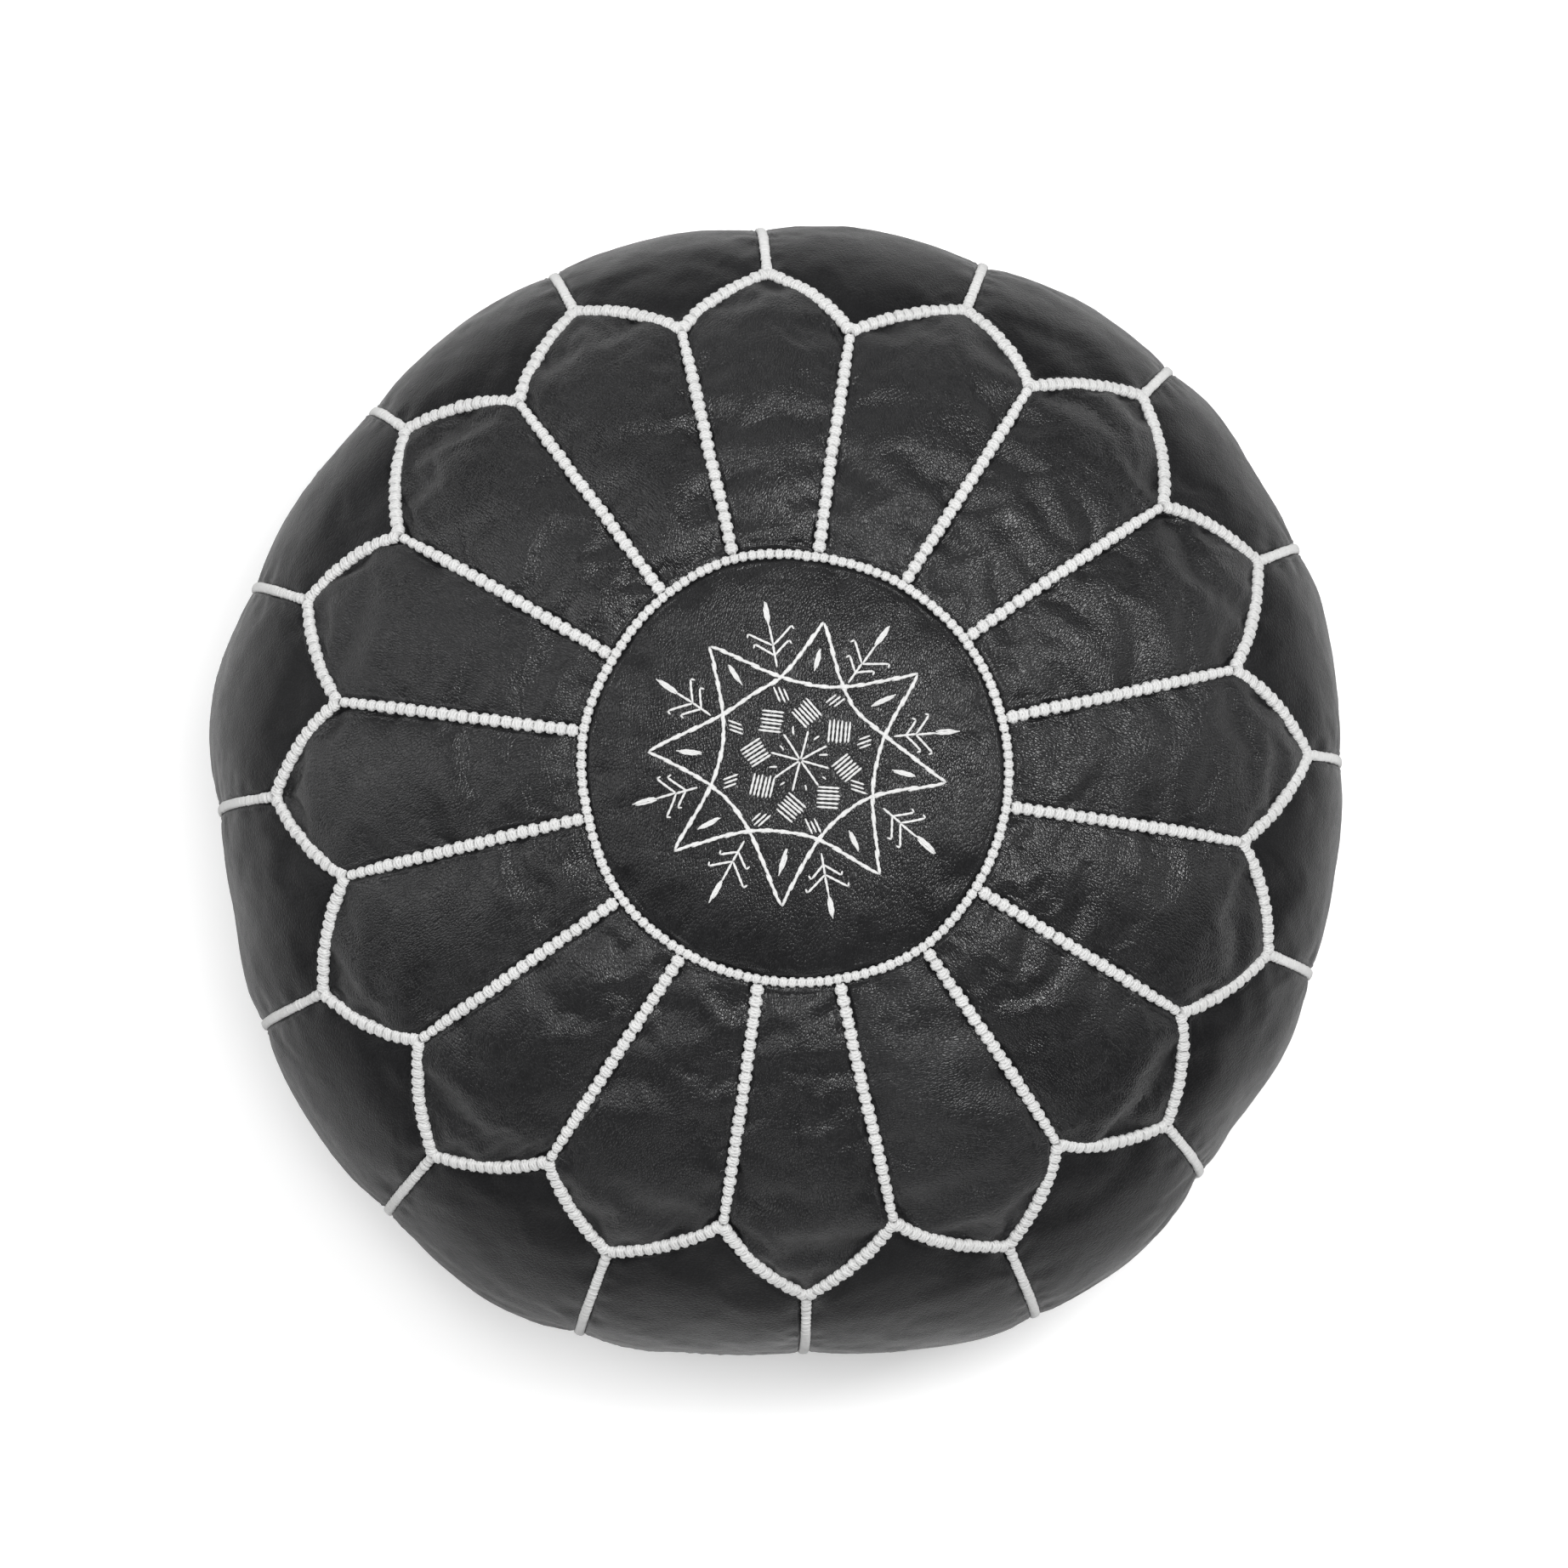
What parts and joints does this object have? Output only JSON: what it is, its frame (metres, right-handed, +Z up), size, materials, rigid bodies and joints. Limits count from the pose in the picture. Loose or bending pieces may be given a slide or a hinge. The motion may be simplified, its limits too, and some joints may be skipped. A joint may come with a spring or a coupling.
{
  "type": "moroccan leather pouf",
  "caption": "Round stuffed leather floor pouf with a petal patchwork top, braided seams, an embroidered centre and a zip in the base.",
  "frame": {"origin": "on the floor, under the middle of the pouf", "axes": "+Z up through the embroidered centre; +Y through the point of petal_01; the zip runs along X"},
  "size_m": [0.5352, 0.5352, 0.3309],
  "materials": {
    "black_goatskin": "semi-gloss tanned goatskin with a fine pebbled grain",
    "white_braid": "waxed white cotton cord, plaited over the seam",
    "embroidery_thread": "white silky thread",
    "wadding": "off-white cotton wadding",
    "zip_tape_cloth": "black woven polyester tape",
    "zip_tooth_plastic": "black moulded teeth",
    "nickel_plated_metal": "satin nickel plate"
  },
  "bodies": {
    "cover": {"medallion_panel": "black_goatskin", "petal_01": "black_goatskin", "petal_02": "black_goatskin", "petal_03": "black_goatskin", "petal_04": "black_goatskin", "petal_05": "black_goatskin", "petal_06": "black_goatskin", "petal_07": "black_goatskin", "petal_08": "black_goatskin", "petal_09": "black_goatskin", "petal_10": "black_goatskin", "petal_11": "black_goatskin", "petal_12": "black_goatskin", "petal_13": "black_goatskin", "petal_14": "black_goatskin", "petal_15": "black_goatskin", "petal_16": "black_goatskin", "side_panel_01": "black_goatskin", "side_panel_02": "black_goatskin", "side_panel_03": "black_goatskin", "side_panel_04": "black_goatskin", "side_panel_05": "black_goatskin", "side_panel_06": "black_goatskin", "side_panel_07": "black_goatskin", "side_panel_08": "black_goatskin", "side_panel_09": "black_goatskin", "side_panel_10": "black_goatskin", "side_panel_11": "black_goatskin", "side_panel_12": "black_goatskin", "side_panel_13": "black_goatskin", "side_panel_14": "black_goatskin", "side_panel_15": "black_goatskin", "side_panel_16": "black_goatskin", "base_panel_front": "black_goatskin", "base_panel_back": "black_goatskin", "filling": "wadding", "medallion_braid": "white_braid", "petal_braids": "white_braid", "petal_tip_braids": "white_braid", "side_braids": "white_braid", "star_outline": "embroidery_thread", "star_point_stitches": "embroidery_thread", "wheat_sprigs": "embroidery_thread", "hatched_squares": "embroidery_thread", "centre_rays": "embroidery_thread", "centre_dashes": "embroidery_thread", "hatch_marks": "embroidery_thread", "zip_tape_front": "zip_tape_cloth", "zip_tape_back": "zip_tape_cloth", "zip_teeth_front": "zip_tooth_plastic", "zip_teeth_back": "zip_tooth_plastic", "zip_end_stop": "nickel_plated_metal", "zip_closing_stops": "nickel_plated_metal"},
    "slider": {"zip_slider": "nickel_plated_metal"},
    "pull": {"zip_pull": "nickel_plated_metal"}
  },
  "joints": [
    {"name": "zip_slide", "type": "slide", "parent": "cover", "child": "slider", "axis": [1, 0, 0], "range_m": [-0.3, 0]},
    {"name": "pull_hinge", "type": "hinge", "parent": "slider", "child": "pull", "pos_m": [0.15, 0, 0.0032], "axis": [0, -1, 0], "range_deg": [-6, 172]}
  ]
}
